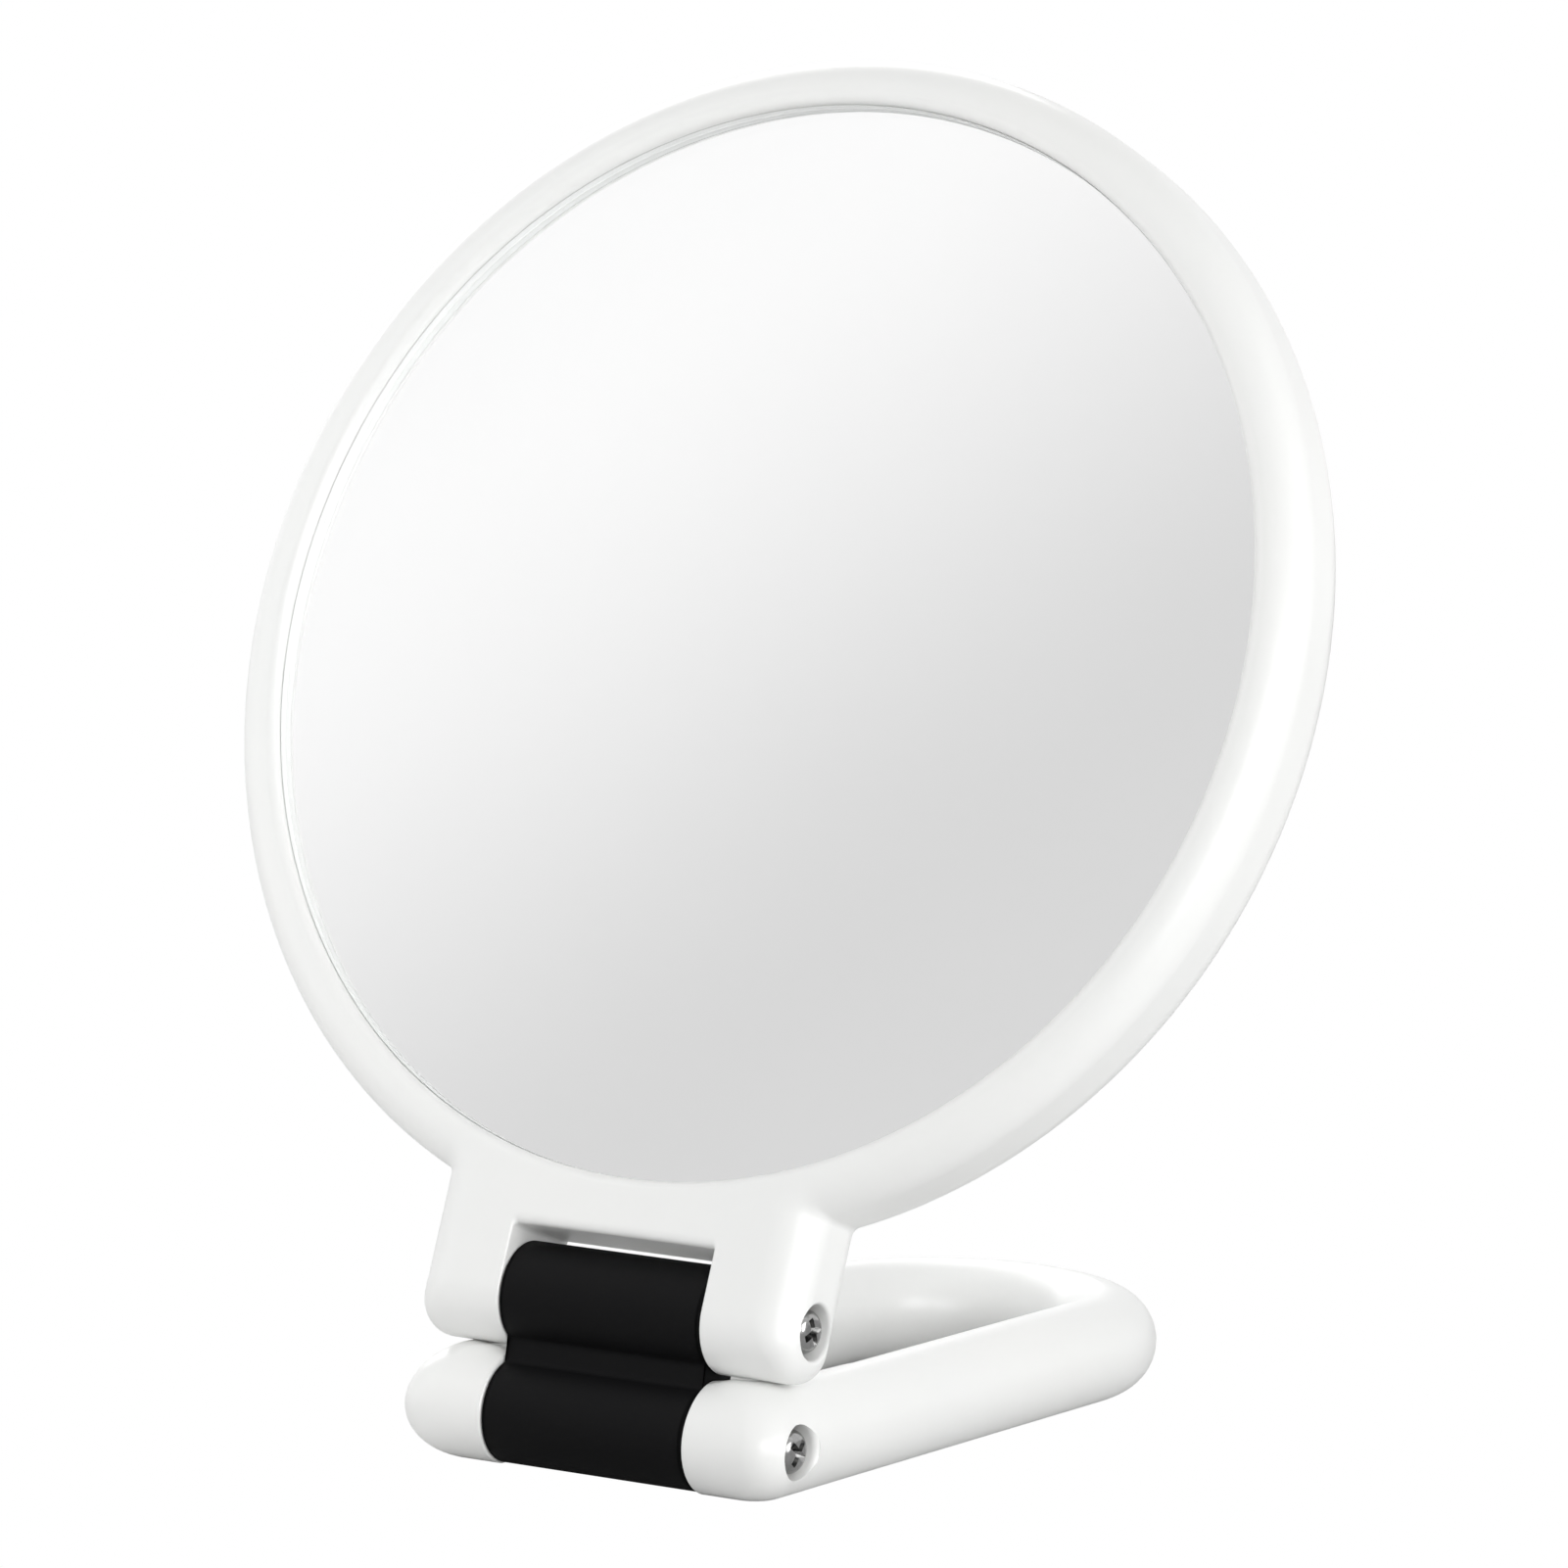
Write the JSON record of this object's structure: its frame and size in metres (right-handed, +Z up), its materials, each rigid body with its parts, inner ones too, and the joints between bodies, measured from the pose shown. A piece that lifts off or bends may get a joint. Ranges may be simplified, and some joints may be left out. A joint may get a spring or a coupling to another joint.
{
  "type": "folding vanity mirror",
  "caption": "Round double-sided vanity mirror, flat and magnifying, on a two-axis hinge link and a U-shaped handle that also serves as its stand.",
  "frame": {"origin": "on the table, at the centre of the whole mirror's bounding box seen from above", "axes": "+X to the mirror's right seen from the front, +Y back along the handle, +Z up; the flat glass faces -Y and leans back"},
  "size_m": [0.1422, 0.1072, 0.1612],
  "materials": {
    "white_abs": "satin to gloss white moulded ABS",
    "black_abs": "black moulded ABS, fine satin",
    "clear_glass": "clear float glass",
    "silvering": "silvered and painted back of the glass",
    "foam_tape": "double-sided foam tape",
    "zinc_steel": "zinc-plated steel tube",
    "nickel_screw": "nickel-plated steel",
    "spring_steel": "spring steel",
    "nylon": "natural nylon"
  },
  "bodies": {
    "handle": {"handle_loop": "white_abs", "lower_left_friction_washer": "nylon", "lower_right_friction_washer": "nylon"},
    "link": {"hinge_link": "black_abs", "upper_axle": "zinc_steel", "lower_axle": "zinc_steel", "upper_left_screw": "nickel_screw", "upper_right_screw": "nickel_screw", "lower_left_screw": "nickel_screw", "lower_right_screw": "nickel_screw", "upper_left_disc_spring": "spring_steel", "upper_right_disc_spring": "spring_steel", "lower_left_disc_spring": "spring_steel", "lower_right_disc_spring": "spring_steel"},
    "head": {"head_frame": "white_abs", "flat_glass": "clear_glass", "flat_silvering": "silvering", "flat_tape_ring": "foam_tape", "magnifying_glass": "clear_glass", "magnifying_silvering": "silvering", "magnifying_tape_ring": "foam_tape", "upper_left_friction_washer": "nylon", "upper_right_friction_washer": "nylon"}
  },
  "joints": [
    {"name": "lower_hinge", "type": "hinge", "parent": "handle", "child": "link", "pos_m": [0, -0.04736, 0.0061], "axis": [1, 0, 0], "range_deg": [0, 206]},
    {"name": "upper_hinge", "type": "hinge", "parent": "link", "child": "head", "pos_m": [0, -0.04431, 0.01935], "axis": [1, 0, 0], "range_deg": [-70, 84]}
  ]
}
